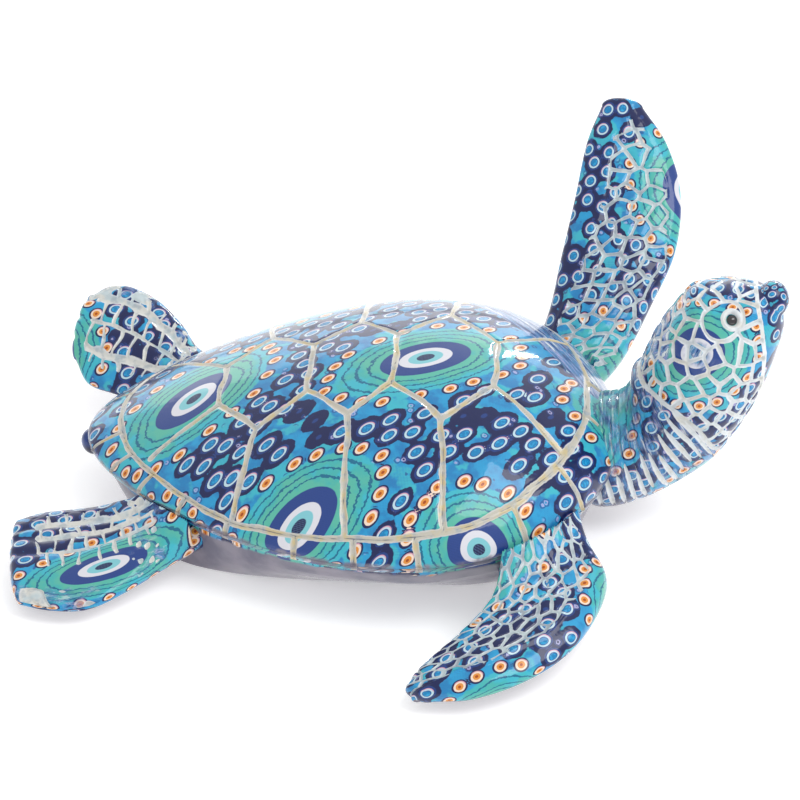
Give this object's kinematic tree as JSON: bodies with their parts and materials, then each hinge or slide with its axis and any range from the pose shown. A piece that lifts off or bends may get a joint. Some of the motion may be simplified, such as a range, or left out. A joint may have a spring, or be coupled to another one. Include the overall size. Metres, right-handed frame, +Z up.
{
  "type": "sea turtle figurine",
  "caption": "Sea turtle figurine with raised head and spread flippers, its glossy castings covered in a printed film of beads and eye motifs.",
  "frame": {"origin": "middle of the belly's flat rest face, on the surface that the turtle lies on", "axes": "+X forward to the head, +Y to the turtle's left, +Z up"},
  "size_m": [0.1591, 0.1553, 0.0567],
  "materials": {
    "printed_film": "clear-coated printed film over cast resin",
    "belly_paint": "grey-mauve paint over cast resin",
    "eye_bead": "polished black",
    "pin_steel": "plain drawn wire"
  },
  "bodies": {
    "root": {"carapace": "printed_film", "belly": "belly_paint", "head_and_neck": "printed_film", "front_flipper_right": "printed_film", "front_flipper_left": "printed_film", "rear_flipper_right": "printed_film", "rear_flipper_left": "printed_film", "tail": "printed_film", "eye_right": "eye_bead", "eye_left": "eye_bead", "neck_pin": "pin_steel", "front_pin_right": "pin_steel", "front_pin_left": "pin_steel", "rear_pin_right": "pin_steel", "rear_pin_left": "pin_steel"}
  },
  "joints": []
}
